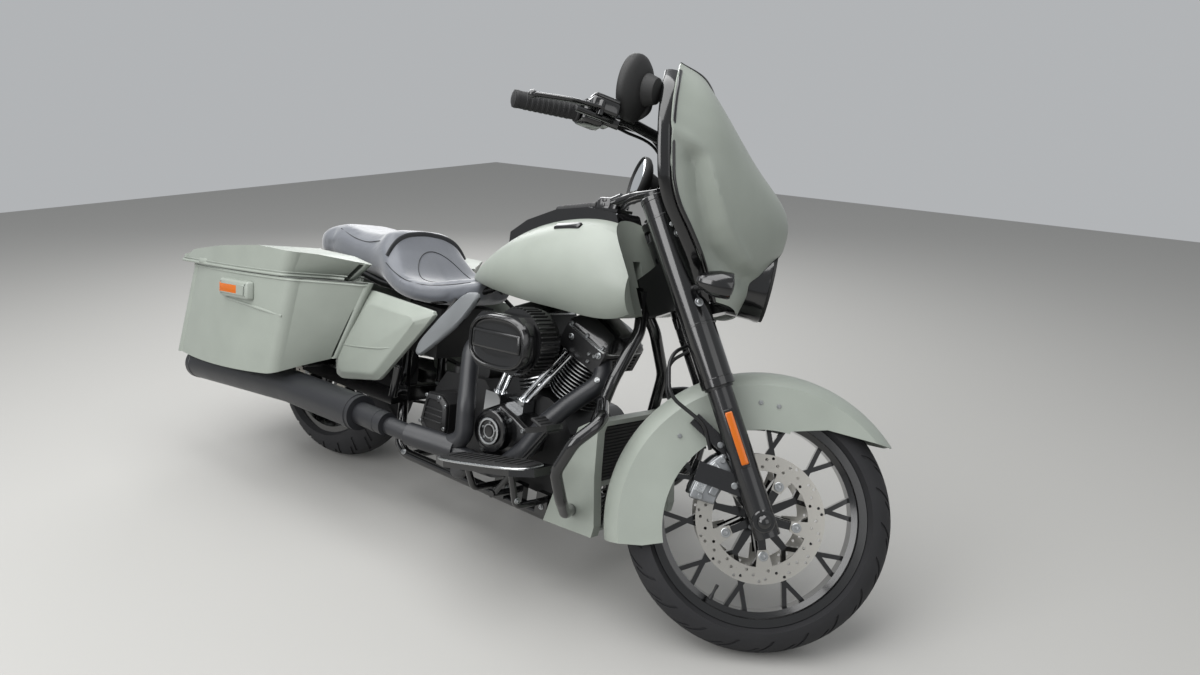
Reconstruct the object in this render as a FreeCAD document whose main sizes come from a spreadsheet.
import FreeCAD, Part
import math
import os

import Sketcher

# Touring cruiser motorcycle, parked on its side stand with the steering on its left stop.
# Every piece is drawn in the motorcycle's own frame: X forward from the rear axle,
# Y to the rider's left, Z up from the ground, with the machine upright and the wheels in line.
# At the end each piece gets a Placement that leans the machine onto its stand,
# and the pieces that steer are also turned about the steering axis.

os.makedirs("parts", exist_ok=True)
doc = FreeCAD.newDocument("touring_cruiser")
V = FreeCAD.Vector


# Driving dimensions

# name, value in millimetres or degrees, what it measures
DIMENSIONS = [
    ("wheelbase", 1625.0, "rear axle to front axle"),
    ("rake", 26.0, "steering axis from the vertical"),
    ("leg_angle", 31.2, "fork legs from the vertical"),
    ("axis_lead", 17.4, "steering axis ahead of the front axle, at axle height"),
    ("lean", 11.325, "lean to the left on the side stand"),
    ("steer_stop", 35.07, "steering angle at either stop"),
    ("front_tyre_radius", 319.0, "front tyre, axle to crown"),
    ("front_crown", 65.0, "radius of the front tyre's round section"),
    ("rear_tyre_radius", 327.6, "rear tyre, axle to crown"),
    ("rear_crown", 90.0, "radius of the rear tyre's round section"),
    ("front_rim_radius", 241.0, "front bead seat"),
    ("rear_rim_radius", 228.6, "rear bead seat"),
    ("front_rim_half", 48.0, "half the front rim's width over its flanges"),
    ("rear_rim_half", 72.0, "half the rear rim's width over its flanges"),
    ("flange", 13.0, "rim flange above the bead seat"),
    ("rim_wall", 5.5, "rim wall"),
    ("bead_gap", 0.3, "tyre to rim"),
    ("axle_radius", 12.5, "both axles"),
    ("axle_play", 0.05, "running clearance at the axles and the steering stem"),
    ("disc_radius", 150.0, "brake disc"),
    ("disc_inner", 111.0, "brake disc's friction ring, inside"),
    ("disc_thick", 5.0, "brake disc"),
    ("disc_place", 78.0, "front discs from the centre plane"),
    ("leg_place", 125.0, "fork legs from the centre plane"),
    ("slider_radius", 30.0, "fork slider"),
    ("tube_radius", 24.5, "fork tube"),
    ("cover_radius", 39.0, "fork cover"),
    ("cover_wall", 7.5, "fork cover"),
    ("stem_radius", 20.0, "steering stem"),
    ("lower_tree", 520.0, "lower clamp along the steering axis"),
    ("upper_tree", 760.0, "upper clamp along the steering axis"),
    ("tree_thick", 28.0, "fork clamps"),
    ("neck_radius", 31.0, "steering neck"),
    ("sweep_radius", 198.0, "space that the fork legs sweep about the steering axis"),
    ("fender_radius", 373.4, "front fender's crown"),
    ("fender_half", 79.0, "half the front fender's width"),
    ("fender_wall", 4.0, "both fenders"),
    ("rear_fender_radius", 364.0, "rear fender's crown"),
    ("rear_fender_half", 104.0, "half the rear fender's width"),
    ("frame_tube", 16.0, "radius of the frame's tubes"),
    ("rail_place", 130.0, "lower frame rails from the centre plane"),
    ("rail_height", 158.0, "lower frame rails above the ground"),
    ("engine_x", 970.0, "crankshaft ahead of the rear axle"),
    ("engine_z", 345.0, "crankshaft above the ground"),
    ("half_vee", 22.5, "each cylinder from the vertical"),
    ("bore_radius", 58.0, "cylinder barrel"),
    ("fin_radius", 80.0, "cylinder fins"),
    ("fin_pitch", 11.0, "from one fin to the next"),
    ("fin_count", 13.0, "fins on each barrel"),
    ("barrel_start", 110.0, "crankshaft to the foot of the barrel"),
    ("deck", 262.0, "crankshaft to the head joint"),
    ("header_radius", 25.5, "exhaust header pipe"),
    ("muffler_radius", 52.0, "muffler"),
    ("muffler_place", 300.0, "mufflers from the centre plane"),
    ("bag_wall", 5.0, "saddlebag shell"),
    ("bag_inner", 216.0, "saddlebag's inner side from the centre plane"),
    ("bag_outer", 404.0, "saddlebag's outer side from the centre plane"),
    ("bag_back", -484.0, "saddlebag's rear end, at its foot"),
    ("lid_gap", 1.5, "saddlebag rim to lid"),
    ("bar_radius", 13.0, "handlebar tube"),
    ("grip_radius", 18.0, "handlebar grips"),
    ("fairing_wall", 5.0, "fairing shell"),
    ("lamp_radius", 89.0, "headlamp"),
    ("tank_half", 166.0, "half the fuel tank's width"),
    ("seat_gap", 0.4, "soft pieces to what carries them"),
    ("guard_radius", 15.0, "engine guard tube"),
    ("board_length", 350.0, "rider footboard"),
    ("board_width", 104.0, "rider footboard"),
    ("board_place", 322.0, "footboards from the centre plane"),
]

sheet = doc.addObject("Spreadsheet::Sheet", "Sizes")
for row, (alias, value, meaning) in enumerate(DIMENSIONS, start=1):
    sheet.set("A%d" % row, str(value))
    sheet.setAlias("A%d" % row, alias)
    sheet.set("B%d" % row, meaning)
doc.recompute()


class Size:
    """A length or angle: its value, and the sheet formula that gives it."""

    def __init__(self, value, text):
        self.value = float(value)
        self.text = text

    def __add__(self, other):
        other = as_size(other)
        return Size(self.value + other.value, "(%s + %s)" % (self.text, other.text))

    def __sub__(self, other):
        other = as_size(other)
        return Size(self.value - other.value, "(%s - %s)" % (self.text, other.text))

    def __mul__(self, factor):
        return Size(self.value * factor, "(%s * %r)" % (self.text, float(factor)))

    def __neg__(self):
        return Size(-self.value, "(-1 * %s)" % self.text)

    def __float__(self):
        return self.value

    __radd__ = __add__
    __rmul__ = __mul__

    def __rsub__(self, other):
        return as_size(other) - self


def as_size(thing):
    return thing if isinstance(thing, Size) else Size(thing, repr(float(thing)))


class Sheet:
    """Each driving dimension by its name."""


S = Sheet()
for alias, value, meaning in DIMENSIONS:
    setattr(S, alias, Size(sheet.get(alias), "Sizes." + alias))


def bind(thing, name, size):
    """Tie a property to the sheet, or set it where it is a plain number."""
    if isinstance(size, Size):
        thing.setExpression(name, size.text)
    elif "." in name or "[" in name:
        thing.setExpression(name, repr(float(size)))
    else:
        setattr(thing, name, size)


def vec(point):
    return V(*[float(c) for c in point])


def tilt(angle):
    """Unit vector that leans back from the vertical by an angle in degrees."""
    a = math.radians(float(angle))
    return V(-math.sin(a), 0, math.cos(a))


# Places that many pieces share

FRONT = (S.wheelbase, 0.0, S.front_tyre_radius)
REAR = (0.0, 0.0, S.rear_tyre_radius)
STEER_DIR = tilt(S.rake)
LEG_DIR = tilt(S.leg_angle)
STEER_FOOT = V(float(S.wheelbase) + float(S.axis_lead), 0, float(S.front_tyre_radius))
BACK_DIR = STEER_DIR.cross(V(0, 1, 0))


def on_axis(along, back=0.0, side=0.0):
    """Point on the steering axis, or behind it and beside it, square to the axis."""
    return STEER_FOOT + STEER_DIR * float(along) + BACK_DIR * float(back) + V(0, float(side), 0)


def on_leg(along, side=-1, out=0.0):
    """Point on a fork leg's centre line, measured up from the front axle."""
    return vec(FRONT) + LEG_DIR * float(along) + V(0, side * (float(S.leg_place) + float(out)), 0)


def from_front(dx, y, dz):
    return (S.wheelbase + dx, y, S.front_tyre_radius + dz)


def from_engine(dx, y, dz):
    return (S.engine_x + dx, y, S.engine_z + dz)


# Makers of document objects

made = {"count": 0}
NODES = []


def new(kind, name="piece"):
    made["count"] += 1
    return doc.addObject(kind, "%s_%03d" % (name, made["count"]))


def turn_to(direction):
    return FreeCAD.Rotation(V(0, 0, 1), vec(direction))


def drum(at, axis, radius, length):
    """Cylinder that starts at a point and runs along a direction."""
    piece = new("Part::Cylinder", "drum")
    bind(piece, "Radius", radius)
    bind(piece, "Height", length)
    piece.Placement = FreeCAD.Placement(vec(at), turn_to(axis))
    for name, value in zip("xyz", at):
        bind(piece, "Placement.Base." + name, value)
    return piece


def cone(at, axis, radius, end_radius, length):
    piece = new("Part::Cone", "cone")
    bind(piece, "Radius1", radius)
    bind(piece, "Radius2", end_radius)
    bind(piece, "Height", length)
    piece.Placement = FreeCAD.Placement(vec(at), turn_to(axis))
    for name, value in zip("xyz", at):
        bind(piece, "Placement.Base." + name, value)
    return piece


def rod(start, end, radius):
    """Round bar between two points."""
    a, b = vec(start), vec(end)
    return drum(tuple(a), tuple(b - a), radius, (b - a).Length)


def across(x, z, radius, half):
    """Round bar across the machine, from one side to the other."""
    return drum((x, -half if isinstance(half, Size) else -float(half), z), (0, 1, 0), radius, half * 2)


def block(at, size, turn=None):
    """Box about its centre; a turn is a Rotation about that centre."""
    piece = new("Part::Box", "block")
    for name, value in zip(("Length", "Width", "Height"), size):
        bind(piece, name, value)
    corner = [c - d * 0.5 for c, d in zip(at, size)]
    if turn:
        half = vec(size) * 0.5
        piece.Placement = FreeCAD.Placement(vec(at) - turn.multVec(half), turn)
        return piece
    for name, value in zip("xyz", corner):
        bind(piece, "Placement.Base." + name, value)
    return piece


def ball(at, radius):
    piece = new("Part::Sphere", "ball")
    bind(piece, "Radius", radius)
    for name, value in zip("xyz", at):
        bind(piece, "Placement.Base." + name, value)
    return piece


def fuse(*pieces):
    whole = new("Part::MultiFuse", "fuse")
    whole.Shapes = list(pieces)
    whole.Refine = True
    return whole


def cut(base, *tools):
    left = new("Part::Cut", "cut")
    left.Base = base
    left.Tool = tools[0] if len(tools) == 1 else fuse(*tools)
    return left


def common(one, other):
    shared = new("Part::Common", "common")
    shared.Base = one
    shared.Tool = other
    return shared


def group(*pieces):
    whole = new("Part::Compound", "group")
    whole.Links = list(pieces)
    return whole


def mirror(piece):
    """The same piece on the other side of the machine."""
    other = new("Part::Mirroring", "mirror")
    other.Source = piece
    other.Base = V(0, 0, 0)
    other.Normal = V(0, 1, 0)
    return other


def pair(piece):
    return group(piece, mirror(piece))


def shape(solid):
    """Document object for a shape that no primitive or sketch gives."""
    piece = new("Part::Feature", "shape")
    piece.Shape = solid
    return piece


def pipe(points, radius, bend=60.0, bore=0.0):
    """Tube along straight runs joined by tangent arcs."""
    knots = [vec(p) for p in points]
    edges = []
    last = knots[0]
    for before, corner, after in zip(knots, knots[1:], knots[2:]):
        into = (corner - before).normalize()
        away = (after - corner).normalize()
        half_turn = into.getAngle(away) / 2
        if half_turn < 1e-3:
            continue
        room = 0.48 * min((corner - before).Length, (after - corner).Length)
        setback = min(bend * math.tan(half_turn), room)
        first = corner - into * setback
        final = corner + away * setback
        middle = (away - into).normalize()
        arc_radius = setback / math.tan(half_turn)
        centre = corner + middle * (arc_radius / math.cos(half_turn))
        if (first - last).Length > 0.01:
            edges.append(Part.LineSegment(last, first).toShape())
        edges.append(Part.Arc(first, centre - middle * arc_radius, final).toShape())
        last = final
    edges.append(Part.LineSegment(last, knots[-1]).toShape())
    spine = Part.Wire(edges)
    start = (knots[1] - knots[0]).normalize()
    solid = spine.makePipeShell([Part.Wire(Part.makeCircle(float(radius), knots[0], start))], True, True)
    if bore:
        inner = Part.Wire(Part.makeCircle(float(bore), knots[0], start))
        solid = solid.cut(spine.makePipeShell([inner], True, True))
    return shape(solid)


def origin_plane(body, role):
    return [f for f in body.Origin.OriginFeatures if f.Role == role][0]


def same(a, b):
    return abs(float(a[-2]) - float(b[-2])) < 1e-6 and abs(float(a[-1]) - float(b[-1])) < 1e-6


def sketch(body, plane, outlines, circles=(), offset=0.0):
    """Sketch of closed outlines on an origin plane of its body.

    An outline row is (x, y) for a straight run to that point,
    or (via x, via y, x, y) for an arc through a point. Circle rows are (x, y, radius).
    """
    drawing = body.newObject("Sketcher::SketchObject", "outline")
    drawing.AttachmentSupport = (origin_plane(body, plane), [""])
    drawing.MapMode = "FlatFace"
    bind(drawing, "AttachmentOffset.Base.z", offset)

    def fix(kind, geo, end, value):
        index = drawing.addConstraint(Sketcher.Constraint(kind, geo, end, float(value)))
        if isinstance(value, Size):
            drawing.setExpression("Constraints[%d]" % index, value.text)

    for rows in outlines:
        rows = list(rows)
        if not same(rows[0], rows[-1]):
            rows.append(rows[0][-2:])
        ids = []
        for start, end in zip(rows, rows[1:]):
            a = V(float(start[-2]), float(start[-1]), 0)
            b = V(float(end[-2]), float(end[-1]), 0)
            if len(end) == 4:
                via = V(float(end[0]), float(end[1]), 0)
                ids.append((drawing.addGeometry(Part.Arc(a, via, b), False), a, end))
            else:
                ids.append((drawing.addGeometry(Part.LineSegment(a, b), False), a, end))
        ends = []
        for geo, a, end in ids:
            first = 1 if (drawing.getPoint(geo, 1) - a).Length < 1e-6 else 2
            ends.append((geo, first, 3 - first))
        for (geo, first, last), (geo2, first2, last2) in zip(ends, ends[1:] + ends[:1]):
            drawing.addConstraint(Sketcher.Constraint("Coincident", geo, last, geo2, first2))
        for (geo, first, last), (_, a, end) in zip(ends, ids):
            fix("DistanceX", geo, last, end[-2])
            fix("DistanceY", geo, last, end[-1])
            if len(end) == 4:
                via = drawing.addGeometry(Part.Point(V(float(end[0]), float(end[1]), 0)), True)
                drawing.addConstraint(Sketcher.Constraint("PointOnObject", via, 1, geo))
                fix("DistanceX", via, 1, end[0])
                fix("DistanceY", via, 1, end[1])
    for x, y, radius in circles:
        geo = drawing.addGeometry(Part.Circle(V(float(x), float(y), 0), V(0, 0, 1), float(radius)), False)
        fix("DistanceX", geo, 3, x)
        fix("DistanceY", geo, 3, y)
        index = drawing.addConstraint(Sketcher.Constraint("Radius", geo, float(radius)))
        if isinstance(radius, Size):
            drawing.setExpression("Constraints[%d]" % index, radius.text)
    return drawing


def tip(body, feature):
    body.Tip = feature
    if hasattr(feature, "Profile"):
        feature.Profile[0].recompute()
    feature.recompute()
    body.recompute()
    return feature


def pad(body, drawing, thick):
    """Outline thickened evenly to both sides of its plane."""
    step = body.newObject("PartDesign::Pad", "pad")
    step.Profile = drawing
    step.SideType = "Symmetric"
    bind(step, "Length", thick)
    return tip(body, step)


def spin(body, drawing, axis="H_Axis", angle=360.0):
    """Outline turned about an axis of its own sketch."""
    step = body.newObject("PartDesign::Revolution", "revolution")
    step.Profile = drawing
    step.ReferenceAxis = (drawing, [axis])
    bind(step, "Angle", angle)
    return tip(body, step)


def around(body, steps, drawing, count):
    """Copies of features about the normal axis of a sketch."""
    step = body.newObject("PartDesign::PolarPattern", "pattern")
    step.Originals = list(steps)
    step.Axis = (drawing, ["N_Axis"])
    step.Angle = 360.0
    step.Occurrences = count
    return tip(body, step)


def drill(body, drawing):
    """Outline cut right through a padded plate."""
    step = body.newObject("PartDesign::Pocket", "pocket")
    step.Profile = drawing
    step.Type = "ThroughAll"
    step.SideType = "Symmetric"
    return tip(body, step)


def plate(plane, outline, thick, offset=0.0, circles=()):
    """Flat piece parallel to an origin plane, thickened about its middle."""
    body = new("PartDesign::Body", "plate")
    outlines = [outline] if outline else []
    pad(body, sketch(body, plane, outlines, circles, offset), thick)
    return body


def side_plate(outline, thick, y, circles=()):
    """Plate that faces sideways, centred at a distance from the centre plane."""
    return plate("XZ_Plane", outline, thick, -y if isinstance(y, Size) else -float(y), circles)


def turned(outline, plane="YZ_Plane", axis="H_Axis", angle=360.0):
    body = new("PartDesign::Body", "turned")
    spin(body, sketch(body, plane, [outline]), axis, angle)
    return body


def moved(piece, at, turn=None):
    piece.Placement = FreeCAD.Placement(vec(at), turn or FreeCAD.Rotation())
    return piece


def node(label, piece, ride="machine"):
    """Keep a finished sub-part: its label names its file."""
    piece.Label = label
    NODES.append((label, piece, ride, FreeCAD.Placement(piece.Placement)))


def arc_wire(rows, place):
    """Closed wire of lines and arcs; place turns a row's pair of numbers into a point."""
    rows = list(rows)
    if not same(rows[0], rows[-1]):
        rows.append(rows[0][-2:])
    edges = []
    for start, end in zip(rows, rows[1:]):
        a, b = place(*start[-2:]), place(*end[-2:])
        if len(end) == 4:
            edges.append(Part.Arc(a, place(*end[:2]), b).toShape())
        else:
            edges.append(Part.LineSegment(a, b).toShape())
    return Part.Wire(edges)


def loft(wires, ruled=False):
    return Part.makeLoft(wires, True, ruled)


def bar_outline(start, end, half, end_half=None):
    """Four corners of a straight bar between two points of a plane."""
    end_half = half if end_half is None else end_half
    dx, dy = end[0] - start[0], end[1] - start[1]
    run = math.hypot(dx, dy)
    nx, ny = -dy / run, dx / run
    return [
        (start[0] + nx * half, start[1] + ny * half),
        (start[0] - nx * half, start[1] - ny * half),
        (end[0] - nx * end_half, end[1] - ny * end_half),
        (end[0] + nx * end_half, end[1] + ny * end_half),
    ]


def at_angle(radius, degrees):
    a = math.radians(degrees)
    return (float(radius) * math.cos(a), float(radius) * math.sin(a))


# Wheels

def tyre(rim_radius, rim_half, crown_radius, tyre_radius):
    """Round section: beads inside the rim's flanges, then one crown arc."""
    seat = rim_radius + S.bead_gap
    bead = rim_half - 6.0
    lip = rim_radius + S.flange + 0.5
    shoulder = crown_radius - 2.0
    fall = float(crown_radius) - math.sqrt(float(crown_radius) ** 2 - float(shoulder) ** 2)
    edge = tyre_radius - fall
    return turned([
        (-bead, seat), (bead, seat), (bead, lip), (shoulder - 3.0, lip + 4.0), (shoulder, edge),
        (0.0, tyre_radius, -shoulder, edge), (3.0 - shoulder, lip + 4.0), (-bead, lip),
    ])


def rim_section(rim_radius, rim_half):
    """Half-open channel with flanges, bead seats and a drop centre."""
    top = rim_radius + S.flange
    seat_edge = rim_half - 5.5
    well = rim_radius - 13.0
    return [
        (-rim_half, top), (-seat_edge, top), (-seat_edge, rim_radius), (-26.0, rim_radius),
        (-20.0, well), (20.0, well), (26.0, rim_radius), (seat_edge, rim_radius), (seat_edge, top),
        (rim_half, top), (rim_half, rim_radius - S.rim_wall), (29.0, rim_radius - S.rim_wall),
        (23.0, well - S.rim_wall), (-23.0, well - S.rim_wall), (-29.0, rim_radius - S.rim_wall),
        (-rim_half, rim_radius - S.rim_wall),
    ]


ARMS = 10
ARM_TIP = 105.0
CROSS_TURN = 24.0


def cast_rim(rim_radius, rim_half, hub_radius, hub_half):
    """Hub, arms that fork into crossing strands, and the rim's channel."""
    body = new("PartDesign::Body", "rim")
    bore = S.axle_radius + S.axle_play
    hub = sketch(body, "YZ_Plane", [[(-hub_half, bore), (hub_half, bore), (hub_half, hub_radius),
                                     (-hub_half, hub_radius)]])
    spin(body, hub)
    arm_drawing = sketch(body, "XZ_Plane", [bar_outline((26.0, 0.0), (ARM_TIP, 0.0), 11.0, 7.5)])
    arm = pad(body, arm_drawing, 36.0)
    reach = float(rim_radius) - 13.0 - 0.5 * float(S.rim_wall)
    strands = []
    for turn in (CROSS_TURN, -CROSS_TURN):
        drawing = sketch(body, "XZ_Plane", [bar_outline((ARM_TIP - 7.0, 0.0), at_angle(reach, turn), 5.5)])
        strands.append(pad(body, drawing, 20.0))
    around(body, [arm] + strands, arm_drawing, ARMS)
    spin(body, sketch(body, "YZ_Plane", [rim_section(rim_radius, rim_half)]))
    return body


def brake_disc(side_y):
    """Drilled friction ring on five tabs."""
    body = new("PartDesign::Body", "disc")
    ring = sketch(body, "XZ_Plane", [], [(0.0, 0.0, S.disc_radius), (0.0, 0.0, S.disc_inner)], -side_y)
    pad(body, ring, S.disc_thick)
    tab_drawing = sketch(body, "XZ_Plane", [bar_outline((72.0, 0.0), (115.0, 0.0), 12.0, 20.0)], (), -side_y)
    around(body, [pad(body, tab_drawing, S.disc_thick)], tab_drawing, 5)
    places = [(120.0, 4.0), (129.0, 12.0), (138.0, 0.0), (143.0, 18.0)]
    circles = [(*at_angle(r, a), 3.6) for r, a in places]
    holes = sketch(body, "XZ_Plane", [], circles, -side_y)
    around(body, [drill(body, holes)], holes, 15)
    return body


def disc_ears(side_y, width):
    """Five ears that carry a disc on the hub."""
    ears = []
    for i in range(5):
        middle = at_angle(58.0, 72.0 * i)
        turn = FreeCAD.Rotation(V(0, 1, 0), -72.0 * i)
        ears.append(block((middle[0], side_y, middle[1]), (70.0, width, 18.0), turn))
    return fuse(*ears)


def front_wheel():
    place = FRONT
    node("front_tyre", moved(tyre(S.front_rim_radius, S.front_rim_half, S.front_crown, S.front_tyre_radius),
                             place), "front_wheel")
    rim = cast_rim(S.front_rim_radius, S.front_rim_half, 34.0, S.disc_place - 6.0)
    bore = drum((0.0, -100.0, 0.0), (0, 1, 0), S.axle_radius + S.axle_play, 200.0)
    ear_y = float(S.disc_place) - float(S.disc_thick) / 2 - 0.2 - 3.5
    ears = [disc_ears(ear_y, 7.0), disc_ears(-ear_y, 7.0)]
    node("front_rim", moved(cut(fuse(rim, *ears), bore), place), "front_wheel")
    discs = group(brake_disc(S.disc_place), brake_disc(-S.disc_place))
    node("front_discs", moved(discs, place), "front_wheel")


PULLEY_Y = 122.0
REAR_DISC_Y = -104.0


def rear_wheel():
    place = REAR
    node("rear_tyre", moved(tyre(S.rear_rim_radius, S.rear_rim_half, S.rear_crown, S.rear_tyre_radius), place),
         "rear_wheel")
    rim = cast_rim(S.rear_rim_radius, S.rear_rim_half, 40.0, 108.0)
    bore = drum((0.0, -130.0, 0.0), (0, 1, 0), S.axle_radius + S.axle_play, 260.0)
    ears = disc_ears(REAR_DISC_Y + 6.2, 7.0)
    node("rear_rim", moved(cut(fuse(rim, ears), bore), place), "rear_wheel")
    node("rear_disc", moved(cut(brake_disc(REAR_DISC_Y), drum((0.0, -130.0, 0.0), (0, 1, 0), 41.0, 60.0)), place),
         "rear_wheel")
    pulley = new("PartDesign::Body", "pulley")
    drawing = sketch(pulley, "XZ_Plane", [], [(0.0, 0.0, 118.0), (0.0, 0.0, S.axle_radius + 4.0)], -PULLEY_Y)
    pad(pulley, drawing, 27.0)
    window = sketch(pulley, "XZ_Plane", [bar_outline((50.0, 0.0), (98.0, 0.0), 12.0, 24.0)], (), -PULLEY_Y)
    around(pulley, [drill(pulley, window)], window, 6)
    node("rear_pulley", moved(pulley, place), "rear_wheel")


# Fork, which turns about the steering axis

def fork_legs():
    parts = [rod(on_leg(-38.0, -1), on_leg(335.0, -1), S.slider_radius),
             rod(on_leg(330.0, -1), on_leg(800.0, -1), S.tube_radius),
             rod(on_leg(796.0, -1), on_leg(806.0, -1), 29.0),
             drum(from_front(0.0, 2.0 - S.leg_place - 30.0, 0.0), (0, 1, 0), 27.0, 54.0),
             drum(from_front(0.0, 25.0 - S.leg_place, 0.0), (0, 1, 0), 19.0,
                  S.leg_place - 25.0 - S.disc_place + 5.0),
             block(from_front(-96.0, 12.0 - S.leg_place - 8.0, 66.0), (150.0, 12.0, 46.0),
                   FreeCAD.Rotation(V(0, 1, 0), 6.0)),
             block(from_front(-150.0, -S.fender_half - 10.0, 160.0), (120.0, 18.0, 30.0),
                   FreeCAD.Rotation(V(0, 1, 0), 30.0))]
    leg = fuse(*parts)
    axle = across(S.wheelbase, S.front_tyre_radius, S.axle_radius, S.leg_place + 20.0)
    node("fork_legs", fuse(leg, mirror(leg), axle), "fork")


def fork_covers():
    def side(sign):
        whole = rod(on_leg(325.0, sign), on_leg(792.0, sign), S.cover_radius)
        hole = rod(on_leg(320.0, sign), on_leg(800.0, sign), S.cover_radius - S.cover_wall)
        slots = []
        for along in (S.lower_tree, S.upper_tree):
            on = on_leg((float(along) - 7.6) / 0.9959, sign, -30.0)
            slots.append(block(tuple(on), (100.0, 62.0, S.tree_thick + 1.0),
                               FreeCAD.Rotation(V(0, 1, 0), -float(S.rake))))
        return cut(whole, hole, *slots)
    node("fork_covers", group(side(-1), side(1)), "fork")


def tree(along):
    """Clamp plate: from the stem back to a ring about each fork tube."""
    turn = FreeCAD.Rotation(V(0, 1, 0), -float(S.rake))
    level = float(along)
    seat = (level - 7.6) / 0.9959
    centres = [on_leg(seat, -1), on_leg(seat, 1)]
    back = (centres[0] - on_axis(level)).dot(BACK_DIR)
    half = S.tree_thick * 0.5
    start = on_axis(level - float(half))
    pieces = [drum(tuple(start), tuple(STEER_DIR), S.stem_radius + 14.0, S.tree_thick)]
    for centre in centres:
        pieces.append(drum(tuple(centre - STEER_DIR * float(half)), tuple(STEER_DIR), 30.4, S.tree_thick))
    pieces.append(block(tuple(on_axis(level, back)), (44.0, S.leg_place * 2.0 - 20.0, S.tree_thick), turn))
    pieces.append(block(tuple(on_axis(level, back / 2)), (back + 10.0, 60.0, S.tree_thick), turn))
    bores = [rod(on_leg(seat - 60, side), on_leg(seat + 60, side), S.tube_radius + 0.3) for side in (-1, 1)]
    return cut(fuse(*pieces), *bores)


def triple_clamps():
    stem = rod(on_axis(float(S.lower_tree)), on_axis(float(S.upper_tree) + 20.0), S.stem_radius)
    nut = rod(on_axis(float(S.upper_tree) + 13.0), on_axis(float(S.upper_tree) + 26.0), 27.0)
    risers = []
    for side in (-45.0, 45.0):
        risers.append(rod(on_axis(float(S.upper_tree) + 10.0, 20.0, side), BAR_POINTS[0] + V(0, side, 0), 12.0))
        risers.append(drum(tuple(BAR_POINTS[0] + V(0, side - 16.0, 0)), (0, 1, 0), 24.0, 32.0))
    upper = cut(fuse(tree(S.upper_tree), *risers), bar_tube(0.3))
    node("triple_clamps", fuse(tree(S.lower_tree), upper, stem, nut), "fork")


BAR_POINTS = [V(1262, 0, 1052), V(1258, 105, 1056), V(1212, 205, 1108), V(1120, 308, 1102),
              V(1034, 390, 1070), V(905, 455, 1046)]
GRIP_START = V(1022, 396, 1067.8)
GRIP_END = V(905, 455, 1046)


def bar_tube(grow):
    right = [V(p.x, -p.y, p.z) for p in reversed(BAR_POINTS)]
    return pipe(right + BAR_POINTS[1:], S.bar_radius + grow, 80.0)


def handlebar():
    bar = bar_tube(0.0)
    along = (GRIP_END - GRIP_START).normalize()
    sleeve = cut(rod(GRIP_START, GRIP_END + along * 8.0, S.grip_radius),
                 rod(GRIP_START - along * 10.0, GRIP_END + along * 0.5, S.bar_radius + 0.3))
    node("grips", pair(sleeve), "fork")
    inner = GRIP_START - along * 32.0
    control = fuse(block(tuple(inner), (50.0, 44.0, 44.0), FreeCAD.Rotation(V(0, 0, 1), -26.0)),
                   rod(inner + V(10, 0, 0), inner + V(62, -6, -6), 13.0),
                   rod(inner + V(55, -6, -4), inner + V(-20, 96, -26), 6.5),
                   rod(inner + V(14, -22, 12), inner + V(40, -38, 26), 17.0))
    clear = rod(GRIP_START - along * 0.3, GRIP_END, S.grip_radius + 1.0)
    control = cut(control, clear)
    node("handlebar", fuse(bar, control, mirror(control)), "fork")


def mirrors():
    head = V(1135, 352, 1163)
    face = V(-0.94, -0.33, 0.06).normalize()
    cup = fuse(cone(tuple(head - face * 4.0), tuple(face), 60.0, 72.0, 14.2),
               drum(tuple(head + face * 10.0), tuple(face), 72.0, 12.0))
    glass = cut(cup, drum(tuple(head + face * 18.0), tuple(face), 66.0, 10.0))
    shell = fuse(glass, cone(tuple(head - face * 3.8), tuple(-face), 60.0, 36.0, 12.0),
                 cone(tuple(head - face * 15.0), tuple(-face), 34.0, 28.0, 28.0),
                 rod(head - face * 20.0, V(1160, 330, 1128), 9.0), rod(V(1160, 330, 1128), V(1122, 306, 1106), 8.0))
    node("mirrors", pair(cut(shell, bar_tube(0.3))), "fork")


def front_fender():
    """Crown and deep sides, turned about a centre just ahead of the axle."""
    body = new("PartDesign::Body", "front_fender")
    out, half, wall = S.fender_radius, S.fender_half, S.fender_wall
    foot = 232.0
    section = [
        (-half, foot), (wall - half, foot), (wall - half, out - 40.0), (0.0, out - wall, half - wall, out - 40.0),
        (half - wall, foot), (half, foot), (half, out - 36.0), (0.0, out, -half, out - 36.0),
    ]
    drawing = sketch(body, "YZ_Plane", [section])
    spin(body, drawing, "H_Axis", 360.0)
    centre = (float(S.wheelbase) + 10.5, 0.0, float(S.front_tyre_radius) - 23.6)
    body.Placement = FreeCAD.Placement(vec(centre), FreeCAD.Rotation())

    def ray(angle, reach):
        return (centre[0] + reach * math.cos(angle), centre[2] + reach * math.sin(angle))
    keep = side_plate([
        ray(math.radians(197.8), 420.0), ray(math.radians(160.0), 600.0), ray(math.radians(120.0), 640.0),
        ray(math.radians(80.0), 600.0), ray(math.radians(44.7), 420.0), ray(math.radians(44.7), 366.0),
        (centre[0] + 98.0, centre[2] + 262.0), (centre[0] + 15.0, centre[2] + 238.0), (centre[0], centre[2]),
        (centre[0] - 262.0, centre[2] - 104.0),
    ], 400.0, 0.0)
    node("front_fender", common(body, keep), "fork")


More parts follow.
